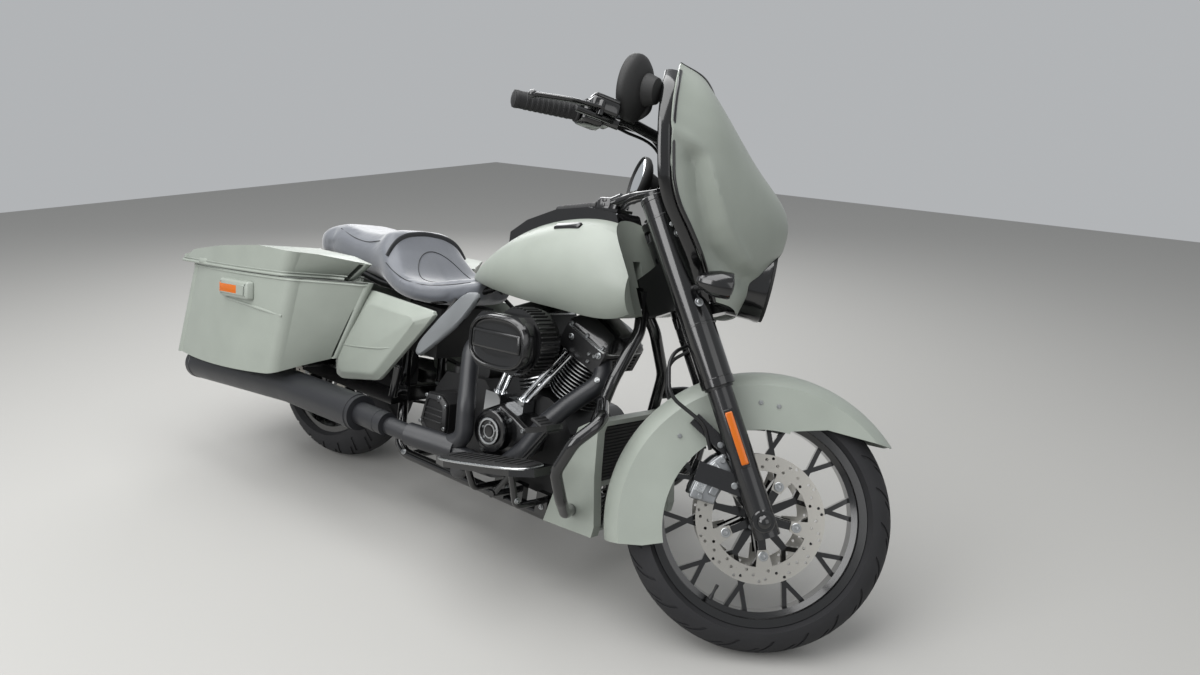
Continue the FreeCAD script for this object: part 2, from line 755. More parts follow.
# height, wing's back edge x and half width, side x and half width, nose x, nose arc's half width and x
FAIRING = [
    (782.0, 1400.0, 150.0, 1440.0, 128.0, 1470.0, 80.0, 1460.0),
    (870.0, 1340.0, 250.0, 1424.0, 190.0, 1512.0, 104.0, 1488.0),
    (960.0, 1262.0, 338.0, 1400.0, 252.0, 1544.0, 112.0, 1514.0),
    (1050.0, 1232.0, 376.0, 1372.0, 284.0, 1532.0, 118.0, 1500.0),
    (1130.0, 1216.0, 384.0, 1340.0, 300.0, 1448.0, 124.0, 1424.0),
    (1210.0, 1208.0, 356.0, 1290.0, 290.0, 1362.0, 130.0, 1346.0),
    (1262.0, 1204.0, 300.0, 1262.0, 240.0, 1306.0, 120.0, 1296.0),
]


def fairing_loft(inset, back):
    """Closed body through the fairing's level sections, drawn in by an inset."""
    wires = []
    for z, wing_x, wing_y, side_x, side_y, nose_x, arc_y, arc_x in FAIRING:
        wing_y, side_y, arc_y = wing_y - inset, side_y - inset * 0.8, arc_y - inset * 0.4
        side_x, nose_x, arc_x = side_x - inset, nose_x - inset, arc_x - inset
        rows = [(wing_x - back, -wing_y), (side_x, -side_y, arc_x, -arc_y), (nose_x, 0.0, arc_x, arc_y),
                (side_x, side_y, wing_x - back, wing_y)]
        wires.append(arc_wire(rows, lambda x, y, z=z: V(float(x), float(y), z)))
    return loft(wires)


LAMP_Z = 872.0
LAMP_X = 1462.0


def fairing():
    shell = cut(shape(fairing_loft(0.0, 0.0)), shape(fairing_loft(float(S.fairing_wall), 40.0)),
                drum((LAMP_X - 90.0, 0.0, LAMP_Z), (1, 0, 0), S.lamp_radius + 0.4, 300.0))
    node("fairing_outer", shell, "fork")
    lamp = fuse(cut(drum((LAMP_X - 10.0, 0.0, LAMP_Z), (1, 0, 0), S.lamp_radius, 80.0),
                    drum((LAMP_X + 12.0, 0.0, LAMP_Z), (1, 0, 0), S.lamp_radius - 7.0, 80.0)),
                cone((LAMP_X - 40.0, 0.0, LAMP_Z), (1, 0, 0), 45.0, 80.0, 30.5))
    lamp = cut(lamp, rod(on_axis(470), on_axis(820), S.neck_radius + 6.0), tree(S.lower_tree))
    node("headlamp", lamp, "fork")
    lens = common(ball((LAMP_X - 90.0, 0.0, LAMP_Z), 147.0),
                  drum((LAMP_X + 13.0, 0.0, LAMP_Z), (1, 0, 0), S.lamp_radius - 7.4, 60.0))
    node("headlamp_lens", lens, "fork")
    inner_block = common(shape(fairing_loft(float(S.fairing_wall) + 0.8, 40.0)),
                         block((1240.0, 0.0, 1166.0), (56.0, 800.0, 168.0), FreeCAD.Rotation(V(0, 1, 0), -6.0)))
    into = V(1, 0, 0.1).normalize()
    pockets, faces = [], []
    for y, z, r in ((-52.0, 1182.0, 43.0), (52.0, 1182.0, 43.0), (-232.0, 1158.0, 56.0), (232.0, 1158.0, 56.0)):
        mouth = V(1200.0, y, z)
        pockets.append(rod(mouth, mouth + into * 34.0, r))
        faces.append(rod(mouth + into * 24.0, mouth + into * 33.6, r - 0.4))
    node("fairing_inner", cut(inner_block, bar_tube(8.0), *pockets), "fork")
    node("gauges_speakers", group(*faces), "fork")
    wires = []
    for z, x, half in ((1263.0, 1300.0, 196.0), (1292.0, 1268.0, 168.0)):
        rows = [(x - 62.0, -half), (x, 0.0, x - 62.0, half), (x - 67.0, half - 1.0),
                (x - 5.0, 0.0, x - 67.0, 1.0 - half)]
        wires.append(arc_wire(rows, lambda x, y, z=z: V(float(x), float(y), z)))
    node("windscreen", shape(loft(wires, True)), "fork")


def turn_signals():
    y = -240.0
    bullet = fuse(drum((1386.0, y, 806.0), (1, 0, 0), 26.0, 44.0),
                  cone((1356.0, y, 806.0), (1, 0, 0), 14.0, 26.0, 30.2),
                  rod(V(1400, y, 806), on_leg(560.0, -1, 10.0), 8.0))
    bullet = cut(bullet, rod(on_leg(400.0, -1), on_leg(700.0, -1), S.cover_radius + 0.3))
    amber = []
    for side in (-1, 1):
        middle = on_leg(195.0, side, 0.0) + V(0, side * (float(S.slider_radius) + 2.5), 0)
        turn = FreeCAD.Rotation(V(0, 1, 0), -float(S.leg_angle))
        amber.append(block(tuple(middle), (20.0, 6.0, 132.0), turn))
    legs = [rod(on_leg(100.0, side), on_leg(300.0, side), S.slider_radius + 0.3) for side in (-1, 1)]
    node("turn_signals", group(bullet, mirror(bullet), cut(group(*amber), *legs)), "fork")


def front_calipers():
    """Body about the disc's edge, behind the leg."""
    centre = from_front(-132.0, 0.0, 62.0)
    turn = FreeCAD.Rotation(V(0, 1, 0), 25.0)
    outside = block((centre[0], -S.disc_place, centre[2]), (52.0, 43.0, 108.0), turn)
    pistons = [drum((centre[0] - 2.0, -S.disc_place - 21.0 - 4.0, centre[2] + dz), (0, 1, 0), 19.0, 8.0)
               for dz in (-24.0, 24.0)]
    slot = drum((S.wheelbase, -S.disc_place - 7.5, S.front_tyre_radius), (0, 1, 0), S.disc_radius + 6.0, 15.0)
    mount = block(from_front(-96.0, 12.0 - S.leg_place - 8.0, 66.0), (151.0, 13.0, 47.0),
                  FreeCAD.Rotation(V(0, 1, 0), 6.0))
    node("front_calipers", pair(cut(fuse(outside, *pistons), slot, mount)), "fork")


def brake_hoses():
    start = from_front(-150.0, -S.disc_place - 26.0, 128.0)
    end = float(S.lower_tree) - float(S.tree_thick) / 2 - 0.4
    points = [vec(start), V(1448, -122, 500), V(1352, -140, 545), V(1330, -128, 640), on_axis(end - 60, 58, -64),
              on_axis(end - 1.0, 58, -60)]
    node("brake_hoses", pair(pipe(points, 4.5, 60.0)), "fork")


# Frame and what it carries

def frame_rail(side, grow=0.0):
    """Tube from the neck's gusset down, along the floor and up behind the engine."""
    y = side * float(S.rail_place)
    z = float(S.rail_height)
    near = side * 75.0
    return pipe([(1205, side * 10, 740), (1226, side * 36, 690), (1222, side * 116, 565), (1200, y, 450),
                 (1180, y, 300), (1165, y, z), (470, y, z), (402, near, 262), (394, near, 440),
                 (402, near, 655)], S.frame_tube + grow, 90.0)


def seat_rail(side, grow=0.0):
    return pipe([(702, side * 8, 735), (668, side * 22, 702), (640, side * 58, 688),
                 (560, side * float(S.rail_place), 648), (300, side * float(S.rail_place), 655),
                 (-40, side * float(S.rail_place), 700)], 13.0 + grow, 60.0)


def frame():
    neck = rod(on_axis(float(S.lower_tree) + 20.0), on_axis(float(S.upper_tree) - 20.0), S.neck_radius)
    bearing = rod(on_axis(float(S.lower_tree)), on_axis(float(S.upper_tree)), S.stem_radius + S.axle_play)
    low = on_axis(float(S.lower_tree) + 26.0)
    low_back = on_axis(float(S.lower_tree) + 26.0, 192.0)
    high = on_axis(float(S.upper_tree) - 66.0)
    high_back = on_axis(float(S.upper_tree) - 66.0, 75.0)
    gusset = side_plate([(low.x, low.z), (high.x, high.z), (high_back.x, high_back.z), (1215.0, 852.0),
                         (1150.0, 795.0), (1150.0, 735.0), (low_back.x, low_back.z)], 28.0, 0.0)
    spine = block((930.0, 0.0, 765.0), (560.0, 44.0, 58.0))
    pieces = [neck, gusset, spine]
    for side in (-1, 1):
        pieces += [frame_rail(side), seat_rail(side)]
    for x, z in ((1158.0, 200.0), (520.0, float(S.rail_height))):
        pieces.append(across(x, z, 13.0, S.rail_place))
    pieces += [across(398.0, 330.0, 13.0, 90.0), across(402.0, 652.0, 12.0, S.rail_place)]
    pieces += [fender_beam(x, 0.0) for x in FENDER_BEAMS]
    lug = rod(STAND_PIVOT - STAND_AXIS * 42.0, STAND_PIVOT - STAND_AXIS * 8.3, 20.0)
    pin = rod(STAND_PIVOT - STAND_AXIS * 10.0, STAND_PIVOT + STAND_AXIS * 24.0, STAND_PIN)
    head = rod(STAND_PIVOT + STAND_AXIS * 18.4, STAND_PIVOT + STAND_AXIS * 25.0, 12.0)
    node("frame", cut(fuse(*pieces, lug, pin, head), bearing), "machine")


FENDER_BEAMS = (120.0, -30.0)
STAND_PIN = 7.0


def fender_beam(x, grow):
    """Cross bar under the seat that carries the rear fender."""
    return across(x, 692.0 - (x - 45.0) * 0.12, 9.0 + grow, S.rail_place)


STAND_PIVOT = V(730.0, 171.0, 176.0)
STAND_AXIS = V(0.014, 0.833, 0.554)


def swingarm():
    pieces = []
    for side, near in ((-1, 136.0), (1, 156.0)):
        pieces.append(block((190.0, side * near, 318.0), (470.0, 20.0, 46.0)))
        pieces.append(drum((0.0, side * near - 10.0, S.rear_tyre_radius), (0, 1, 0), 34.0, 20.0))
        pieces.append(block((400.0, side * (near + 92.0) / 2, 318.0), (44.0, abs(near - 92.0) + 20.0, 44.0)))
    pieces.append(block((394.0, 0.0, 318.0), (40.0, 210.0, 44.0)))
    pieces.append(across(0.0, S.rear_tyre_radius, S.axle_radius, 178.0))
    pieces.append(drum((0.0, -126.5, S.rear_tyre_radius), (0, 1, 0), 20.0, 18.0))
    pieces.append(drum((0.0, 136.5, S.rear_tyre_radius), (0, 1, 0), 20.0, 12.0))
    rails = [frame_rail(side, 0.4) for side in (-1, 1)]
    node("swingarm", cut(fuse(*pieces), *rails, across(398.0, 330.0, 13.4, 90.4)), "machine")


def shocks():
    low, high = V(40, 178, 372), V(165, 178, 606)
    along = (high - low).normalize()
    shock = fuse(rod(low, high, 12.0), rod(low + along * 30, high - along * 40, 25.0),
                 drum(tuple(low - V(0, 12, 0)), (0, 1, 0), 16.0, 22.0),
                 drum(tuple(high - V(0, 33, 0)), (0, 1, 0), 16.0, 43.0))
    node("shocks", pair(shock), "machine")


def drive_belt():
    """One loop about both pulleys, clear of the turning one."""
    rear, front = (0.0, float(S.rear_tyre_radius)), (530.0, float(S.rear_tyre_radius) + 8.0)
    rear_r, front_r, thick = 123.0, 58.0, 6.0
    run = math.hypot(front[0] - rear[0], front[1] - rear[1])
    lean = math.asin((rear_r - front_r) / run)
    slope = math.atan2(front[1] - rear[1], front[0] - rear[0])

    def loop(extra):
        up, down = slope + math.pi / 2 - lean, slope - math.pi / 2 + lean

        def at(c, r, a):
            return (c[0] + (r + extra) * math.cos(a), c[1] + (r + extra) * math.sin(a))
        return [at(front, front_r, up), (*at(rear, rear_r, up),),
                (*at(rear, rear_r, slope + math.pi), *at(rear, rear_r, down)), at(front, front_r, down),
                (*at(front, front_r, slope), *at(front, front_r, up))]
    body = new("PartDesign::Body", "belt")
    pad(body, sketch(body, "XZ_Plane", [loop(thick), loop(0.0)], (), -PULLEY_Y), 25.0)
    hub = drum((front[0], PULLEY_Y - 13.0, front[1]), (0, 1, 0), front_r - 0.3, 26.0)
    node("drive_belt", group(body, hub), "machine")


def rear_caliper():
    body = block((-128.0, REAR_DISC_Y, S.rear_tyre_radius + 76.0), (60.0, 40.0, 92.0),
                 FreeCAD.Rotation(V(0, 1, 0), 30.7))
    slot = drum((0.0, REAR_DISC_Y - 7.5, S.rear_tyre_radius), (0, 1, 0), S.disc_radius + 6.0, 15.0)
    arm = block((-66.0, REAR_DISC_Y - 17.8, S.rear_tyre_radius + 38.0), (160.0, 7.6, 34.0),
                FreeCAD.Rotation(V(0, 1, 0), 30.0))
    hole = drum((0.0, -200.0, S.rear_tyre_radius), (0, 1, 0), 20.4, 400.0)
    node("rear_caliper", cut(fuse(cut(body, slot), arm), hole,
                             drum((0.0, -127.4, S.rear_tyre_radius), (0, 1, 0), 35.0, 1.4)), "machine")


# Engine

def vee(angle_sign):
    """Direction of a cylinder, and the direction square to it in the side view."""
    a = math.radians(float(S.half_vee)) * angle_sign
    return V(math.sin(a), 0, math.cos(a)), V(math.cos(a), 0, -math.sin(a))


CRANK = V(float(S.engine_x), 0, float(S.engine_z))


def engine():
    case = side_plate([
        from_engine(-150, 0, -145)[::2], from_engine(110, 0, -150)[::2], from_engine(138, 0, -60)[::2],
        from_engine(132, 0, 40)[::2], from_engine(86, 0, 100)[::2], from_engine(40, 0, 118)[::2],
        from_engine(-40, 0, 118)[::2], from_engine(-86, 0, 100)[::2], from_engine(-150, 0, 30)[::2],
    ], 200.0, 0.0)
    filter_can = drum(from_engine(128, 0, -52), (1, 0, 0), 38.0, 76.0)
    rails = [frame_rail(side, 0.4) for side in (-1, 1)]
    node("crankcase", cut(fuse(case, filter_can), *rails, across(1158.0, 200.0, 13.4, 160.0)), "machine")

    barrels, heads, rockers = [], [], []
    for sign in (1, -1):
        up, along = vee(sign)
        turn = FreeCAD.Rotation(V(0, 1, 0), float(S.half_vee) * sign)
        foot = CRANK + up * (float(S.barrel_start) + 16.0)
        barrels.append(rod(foot, CRANK + up * (float(S.deck) - 0.4), S.bore_radius))
        for i in range(int(float(S.fin_count))):
            at = CRANK + up * (float(S.barrel_start) + 22.0 + float(S.fin_pitch) * (i + 0.2))
            if (at - CRANK).Length > float(S.deck) - 6.0:
                break
            fin = drum(tuple(at), tuple(up), S.fin_radius, 4.0)
            barrels.append(fin)
        head = head_block(sign, 0.0)
        flats = [block(tuple(CRANK + up * (float(S.deck) + z) + along * (sign * 76.0)), (10.0, 140.0, 5.0), turn)
                 for z in (8.0, 18.0, 28.0, 38.0, 48.0)]
        heads.append(cut(head, *flats))
        cover = loft([arc_wire([(-74.0, -86.0), (74.0, -86.0), (84.0, 0.0, 74.0, 86.0), (-74.0, 86.0),
                                (-84.0, 0.0, -74.0, -86.0)],
                               lambda x, y, c=CRANK + up * (float(S.deck) + 67.2), a=along: c + a * x + V(0, y, 0)),
                      arc_wire([(-46.0, -58.0), (46.0, -58.0), (58.0, 0.0, 46.0, 58.0), (-46.0, 58.0),
                                (-58.0, 0.0, -46.0, -58.0)],
                               lambda x, y, c=CRANK + up * (float(S.deck) + 106.0), a=along: c + a * x + V(0, y, 0))])
        rockers.append(shape(cover))
    split = block(tuple(CRANK + V(0, 0, 230)), (1.0, 220.0, 460.0))
    node("cylinders", cut(fuse(*barrels), split, side_block_for_case()), "machine")
    between = block(tuple(CRANK + V(0, 0, 230)), (2.0, 220.0, 700.0))
    node("cylinder_heads", cut(fuse(*heads, *rockers), between), "machine")
    tubes = []
    for x, sign in ((-33.0, 1), (-120.0, -1)):
        up, along = vee(sign)
        low = CRANK + V(x, -128, 84)
        for gap in (-11.0, 11.0):
            high = CRANK + up * (float(S.deck) + 4.0) + along * (-20.0 * sign + gap) + V(0, -98, 0)
            tubes.append(rod(low + V(gap, 0, 0), high, 7.0))
            tubes.append(rod(low + V(gap, 0, 0), low + V(gap, 0, 0) + (high - low).normalize() * 18.0, 10.5))
        tubes.append(block(tuple(low + V(0, 0, -16)), (58.0, 44.0, 60.0)))
    node("pushrod_tubes", cut(fuse(*tubes), side_block_for_case(), chest(0.3)), "machine")


def head_block(sign, grow):
    turn = FreeCAD.Rotation(V(0, 1, 0), float(S.half_vee) * sign)
    size = (150.0 + 2 * grow, 172.0 + 2 * grow, 66.0 + 2 * grow)
    return block(tuple(CRANK + vee(sign)[0] * (float(S.deck) + 34.0)), size, turn)


def side_block_for_case():
    """Stand-in for the crankcase, a little larger, that trims what seats on it."""
    return side_plate([
        from_engine(-150.4, 0, -145)[::2], from_engine(110.4, 0, -150)[::2], from_engine(138.4, 0, -60)[::2],
        from_engine(132.4, 0, 40.3)[::2], from_engine(86.3, 0, 100.4)[::2], from_engine(40.0, 0, 118.4)[::2],
        from_engine(-40.0, 0, 118.4)[::2], from_engine(-86.3, 0, 100.4)[::2], from_engine(-150.4, 0, 30.0)[::2],
    ], 200.6, 0.0)


def chest(grow):
    """Box of the cam gear on the crankcase's right side."""
    outline = [from_engine(-130 - grow, 0, 46 + grow)[::2], from_engine(-112 - grow, 0, -66 - grow)[::2],
               from_engine(-40, 0, -92 - grow)[::2], from_engine(44 + grow, 0, -30)[::2],
               from_engine(54 + grow, 0, 40 + grow)[::2], from_engine(0, 0, 66 + grow)[::2],
               from_engine(-60, 0, 84 + grow)[::2]]
    return side_plate(outline, 76.0 + 2 * grow, -138.4)


def engine_covers():
    derby = drum(from_engine(-53.0, -205.0, 12.0), (0, 1, 0), 56.0, 29.0)
    cap = drum(from_engine(-53.0, -213.0, 12.0), (0, 1, 0), 42.0, 10.0)
    node("cam_cover", fuse(chest(0.0), derby, cap), "machine")
    primary = [from_engine(-350, 0, -10)[::2], from_engine(-330, 0, -84)[::2], from_engine(-250, 0, -112)[::2],
               from_engine(20, 0, -92)[::2], from_engine(88, 0, -40)[::2],
               (*from_engine(112, 0, 12)[::2], *from_engine(60, 0, 76)[::2]), from_engine(-60, 0, 92)[::2],
               from_engine(-270, 0, 76)[::2]]
    side = side_plate(primary, 92.0, 147.4)
    dome = drum(from_engine(-240.0, 193.0, -14.0), (0, 1, 0), 66.0, 12.0)
    lamp = drum(from_engine(26.0, 193.0, -6.0), (0, 1, 0), 54.0, 12.0)
    belt_room = block((530.0, 122.0, 340.0), (150.0, 44.0, 140.0))
    node("primary_cover", cut(fuse(side, dome, lamp), belt_room, frame_rail(1, 0.4)), "machine")
    box = side_plate([(560.0, 242.0), (815.0, 236.0), (815.0, 400.0), (760.0, 452.0), (600.0, 440.0),
                      (560.0, 380.0)], 190.0, 0.0)
    lid = side_plate([(612.0, 300.0), (640.0, 268.0), (706.0, 268.0), (728.0, 300.0), (722.0, 376.0),
                      (690.0, 398.0), (630.0, 392.0)], 90.0, -140.0)
    motor = drum((700.0, 90.0, 470.0), (0, -1, 0), 42.0, 150.0)
    filler = drum((628.0, -66.0, 426.0), (0, 0, 1), 21.0, 36.0)
    node("transmission", fuse(box, lid, motor, filler), "machine")


def air_cleaner():
    centre = from_engine(-24.0, 0, 265.0)
    turn = FreeCAD.Rotation(V(0, 1, 0), -3.0)
    cover = new("PartDesign::Body", "cover")
    rows = [(-64.0, -74.0), (64.0, -74.0), (104.0, 0.0, 64.0, 74.0), (-64.0, 74.0), (-104.0, 0.0, -64.0, -74.0)]
    pad(cover, sketch(cover, "XZ_Plane", [rows], (), 246.0), 36.0)
    filter_ring = drum((30.0, -228.5, 4.0), (0, 1, 0), 88.0, 78.0)
    backing = drum((30.0, -151.0, 4.0), (0, 1, 0), 52.0, 40.0)
    whole = fuse(cover, filter_ring, backing)
    whole.Placement = FreeCAD.Placement(vec(centre), turn)
    clear = [head_block(s, 0.4) for s in (1, -1)]
    neck = block((float(S.engine_x), -96.0, float(S.engine_z) + 259.0), (72.0, 60.0, 64.0))
    node("air_cleaner", cut(fuse(whole, neck), *clear), "machine")


def exhausts():
    h, m = S.header_radius, S.muffler_radius
    y = -float(S.muffler_place)
    rear_head = CRANK + vee(-1)[0] * (float(S.deck) + 26.0) + vee(-1)[1] * (-75.6) + V(0, -30, 0)
    front_head = CRANK + vee(1)[0] * (float(S.deck) + 36.0) + vee(1)[1] * 40.0 + V(0, -36, 0)
    rear_path = [rear_head, rear_head + V(-50, -14, 0), V(772, -180, 560), V(836, -236, 410), V(846, -238, 318),
                 V(800, -250, 289), V(690, -282, 288), V(520, y, 296)]
    front_path = [front_head, V(1168, -84, 545), V(1118, -158, 474), V(1080, -186, 420),
                  V(1040, -204, 340), V(966, -214, 262), V(880, -224, 260), V(802, -251, 284)]
    collector = rod(V(828, -244, 283), V(676, -284, 289), h + 7.0)
    rear_pipe, front_pipe = pipe(rear_path, h, 70.0), pipe(front_path, h, 60.0)
    can = pipe([V(480, y, 297), V(126, y, 291), V(-427, y, 240)], m, 140.0)
    taper = drum((600.0, y, 297.0), (-1, 0, 0), h + 8.0, 125.0)
    mouth = rod(V(-340, y, 248), V(-440, y, 238.8), m - 4.0)
    heads = [head_block(s, 0.3) for s in (1, -1)]
    fin_room = [rod(CRANK + vee(s)[0] * float(S.barrel_start), CRANK + vee(s)[0] * float(S.deck),
                    S.fin_radius + 0.5) for s in (1, -1)]
    right = cut(fuse(rear_pipe, front_pipe, collector, can, taper), mouth, *heads, *fin_room)
    node("exhaust_right", right, "machine")
    left_pipe = pipe([V(850, -228, 250), V(800, -196, 204), V(720, -90, 204), V(640, 100, 204), V(576, 235, 228),
                      V(530, -y, 285), V(470, -y, 296.5)], h, 60.0)
    joints = [pipe(rear_path, h + 0.3, 70.0), pipe(front_path, h + 0.3, 60.0),
              rod(V(829, -244, 283), V(676, -284, 289), h + 7.3)]
    left = cut(fuse(cut(left_pipe, *joints), mirror(can)), mirror(mouth))
    node("exhaust_left", left, "machine")


# Tank, seat and covers

# x, centre height, shoulder height, shoulder half width, side height, side half width, foot half width, foot height
TANK = [
    (612.0, 742.0, 734.0, 30.0, 727.0, 44.0, 36.0, 720.0),
    (690.0, 822.0, 804.0, 62.0, 762.0, 96.0, 76.0, 718.0),
    (790.0, 894.0, 868.0, 84.0, 790.0, 134.0, 104.0, 714.0),
    (920.0, 946.0, 918.0, 96.0, 808.0, 160.0, 124.0, 712.0),
    (1060.0, 968.0, 944.0, 98.0, 818.0, 166.0, 128.0, 712.0),
    (1170.0, 952.0, 926.0, 104.0, 828.0, 164.0, 126.0, 716.0),
    (1242.0, 900.0, 884.0, 100.0, 826.0, 150.0, 120.0, 742.0),
]


def tank_loft(grow):
    wires = []
    stretch = float(S.tank_half) / 166.0
    for x, top, shoulder, shoulder_y, side, side_y, foot_y, foot in TANK:
        top, shoulder, foot = top + grow, shoulder + grow * 0.8, foot - grow
        shoulder_y, side_y = shoulder_y * stretch + grow * 0.6, side_y * stretch + grow
        foot_y = foot_y * stretch + grow * 0.7
        rows = [(-foot_y, foot), (foot_y, foot), (side_y, side, shoulder_y, shoulder),
                (0.0, top, -shoulder_y, shoulder), (-side_y, side, -foot_y, foot)]
        wires.append(arc_wire(rows, lambda y, z, x=x: V(x, float(y), float(z))))
    return loft(wires)


def sweep_room():
    return rod(on_axis(300.0), on_axis(1100.0), S.sweep_radius)


def tank():
    tunnel = block((900.0, 0.0, 745.0), (900.0, 60.0, 112.0))
    front_tunnel = block((1200.0, 0.0, 800.0), (150.0, 34.0, 130.0))
    rails = [tube(side, 3.0) for side in (-1, 1) for tube in (frame_rail, seat_rail)]
    node("fuel_tank", cut(shape(tank_loft(0.0)), tunnel, front_tunnel, sweep_room(), *rails), "machine")
    strip = side_plate([(742.0, 840.0), (742.0, 884.0), (800.0, 926.0), (900.0, 968.0), (1010.0, 988.0),
                        (1100.0, 984.0), (1150.0, 962.0), (1150.0, 900.0)], 108.0, 0.0)
    door_room = block((DOOR_X, 0.0, DOOR_Z), (DOOR_LONG + 4.0, 76.0, 16.0), DOOR_TURN)
    node("tank_console", cut(strip, shape(tank_loft(0.4)), door_room, sweep_room()), "machine")
    door = block((DOOR_X, 0.0, DOOR_Z - 0.4), (DOOR_LONG, 70.0, 8.0), DOOR_TURN)
    node("fuel_door", door, "fuel_door")


DOOR_X, DOOR_Z, DOOR_LONG = 1052.0, 989.0, 84.0
DOOR_TURN = FreeCAD.Rotation(V(0, 1, 0), -1.0)

# x, crown height, edge height, half width, foot height
SEAT = [
    (-118.0, 722.0, 706.0, 50.0, 694.0),
    (-70.0, 778.0, 740.0, 112.0, 690.0),
    (20.0, 806.0, 758.0, 138.0, 688.0),
    (150.0, 800.0, 744.0, 150.0, 676.0),
    (250.0, 808.0, 740.0, 160.0, 664.0),
    (312.0, 822.0, 742.0, 172.0, 656.0),
    (360.0, 768.0, 716.0, 184.0, 646.0),
    (430.0, 706.0, 690.0, 192.0, 636.0),
    (500.0, 694.0, 684.0, 188.0, 634.0),
    (580.0, 714.0, 690.0, 150.0, 642.0),
    (660.0, 742.0, 716.0, 74.0, 672.0),
]


def seat():
    wires = []
    for x, crown, edge, half, foot in SEAT:
        rows = [(-half * 0.8, foot), (half * 0.8, foot), (half, edge), (0.0, crown, -half, edge)]
        wires.append(arc_wire(rows, lambda y, z, x=x: V(x, float(y), float(z))))
    gap = float(S.seat_gap)
    rails = [seat_rail(side, gap) for side in (-1, 1)] + [frame_rail(side, gap) for side in (-1, 1)]
    beams = [fender_beam(x, gap) for x in FENDER_BEAMS] + [across(402.0, 652.0, 12.0 + gap, 150.0)]
    stay = deflector_stay(gap)
    node("seat", cut(shape(loft(wires, True)), shape(tank_loft(gap + 0.2)), stay, mirror(stay),
                     drum((0.0, -200.0, S.rear_tyre_radius), (0, 1, 0), S.rear_fender_radius + gap, 400.0),
                     block((930.0, 0.0, 765.0), (562.0, 46.0, 60.0)), *rails, *beams), "machine")


def rear_fender():
    out, half, wall = S.rear_fender_radius, S.rear_fender_half, S.fender_wall
    foot = 262.0
    section = [
        (-half, foot), (wall - half, foot), (wall - half, out - 34.0), (0.0, out - wall, half - wall, out - 34.0),
        (half - wall, foot), (half, foot), (half, out - 30.0), (0.0, out, -half, out - 30.0),
    ]
    ring = moved(turned(section), REAR)
    keep = side_plate([(300.0, 560.0), (300.0, 760.0), (-200.0, 760.0), (-460.0, 560.0), (-440.0, 300.0),
                       (-200.0, 300.0), (-100.0, 420.0), (60.0, 500.0)], 400.0, 0.0)
    beams = [fender_beam(x, 0.4) for x in FENDER_BEAMS]
    node("rear_fender", cut(common(ring, keep), *beams), "machine")
    surface = drum((0.0, -200.0, S.rear_tyre_radius), (0, 1, 0), S.rear_fender_radius + 0.3, 400.0)
    bar = fuse(block((-318.0, 0.0, 494.0), (60.0, 160.0, 30.0)), across(-336.0, 494.0, 9.0, 110.0),
               block((-292.0, 0.0, 566.0), (90.0, 92.0, 44.0), FreeCAD.Rotation(V(0, 1, 0), -35.0)))
    bullets = [drum((-366.0, y, 494.0), (1, 0, 0), 27.0, 60.0) for y in (-122.0, 122.0)]
    node("tail_lamps", cut(fuse(bar, *bullets), surface), "machine")
    turn = FreeCAD.Rotation(V(0, 1, 0), 14.0)
    plate_piece = block((-378.0, 0.0, 404.0), (3.0, 178.0, 108.0), turn)
    arm = block((-371.0, 0.0, 414.0), (14.0, 56.0, 60.0), turn)
    holes = [drum(tuple(V(-378, y, 404) + turn.multVec(V(-6, 0, z))), tuple(turn.multVec(V(1, 0, 0))), 3.0, 10.0)
             for y in (-40.0, 40.0) for z in (-40.0, 40.0)]
    node("number_plate", cut(fuse(cut(plate_piece, *holes), arm), surface), "machine")


def deflector_stay(grow):
    return rod(V(640, -191, 590), V(604, -92, 671), 6.0 + grow)


def side_covers():
    outline = [(258.0, 342.0), (430.0, 378.0), (452.0, 400.0), (640.0, 618.0), (632.0, 630.0), (352.0, 640.0),
               (330.0, 628.0), (222.0, 440.0), (214.0, 400.0), (228.0, 350.0)]
    panel = side_plate(outline, 8.0, -206.0)
    low = rod(V(398, -204, 470), V(396, -80, 470), 12.0)
    top = rod(V(398, -204, 600), V(400, -80, 600), 12.0)
    rails = [frame_rail(-1, 0.3), seat_rail(-1, 0.3)]
    node("side_covers", pair(cut(fuse(panel, low, top), *rails)), "machine")
    leaf = side_plate([(566.0, 494.0), (584.0, 488.0), (640.0, 532.0), (736.0, 618.0), (792.0, 696.0),
                       (786.0, 712.0), (740.0, 704.0), (640.0, 606.0), (576.0, 528.0)], 5.0, -192.0)
    node("air_deflectors", pair(cut(fuse(leaf, deflector_stay(0.0)), seat_rail(-1, 0.3))), "machine")
    node("electrics_box", side_plate([(418.0, 470.0), (560.0, 470.0), (560.0, 622.0), (424.0, 622.0)],
                                     220.0, 0.0), "machine")


# Saddlebags

def bag_loft(inset, low, high):
    """Tub between two level outlines, drawn in by an inset."""
    inner, outer = float(S.bag_inner) + inset, float(S.bag_outer) - inset
    back = float(S.bag_back) + inset

    # height, rear x, outer rear x and y, outer middle y, outer front x and y, inner front x and y
    rows = [
        (low, back - 12.0, back + 20.0, outer - 40.0, outer - 6.0, 118.0 - inset, outer - 10.0, 150.0 - inset),
        (high, back + 90.0, back + 118.0, outer - 40.0, outer + 2.0, 214.0 - inset, outer - 6.0, 388.0 - inset),
    ]
    wires = []
    for z, rear_x, corner_x, corner_y, middle_y, front_x, front_y, tip_x in rows:
        outline = [(rear_x, inner), (rear_x - 4.0, inner + 60.0, rear_x + 4.0, corner_y - 34.0),
                   (rear_x + 10.0, corner_y - 8.0, corner_x + 14.0, corner_y),
                   (-170.0, middle_y, front_x - 24.0, front_y),
                   (front_x - 2.0, front_y - 10.0, front_x + 12.0, front_y - 30.0),
                   (tip_x - 14.0, inner + 22.0), (tip_x, inner + 12.0, tip_x - 4.0, inner)]
        wires.append(arc_wire(outline, lambda x, y, z=z: V(float(x), float(y), z)))
    return shape(loft(wires, True))


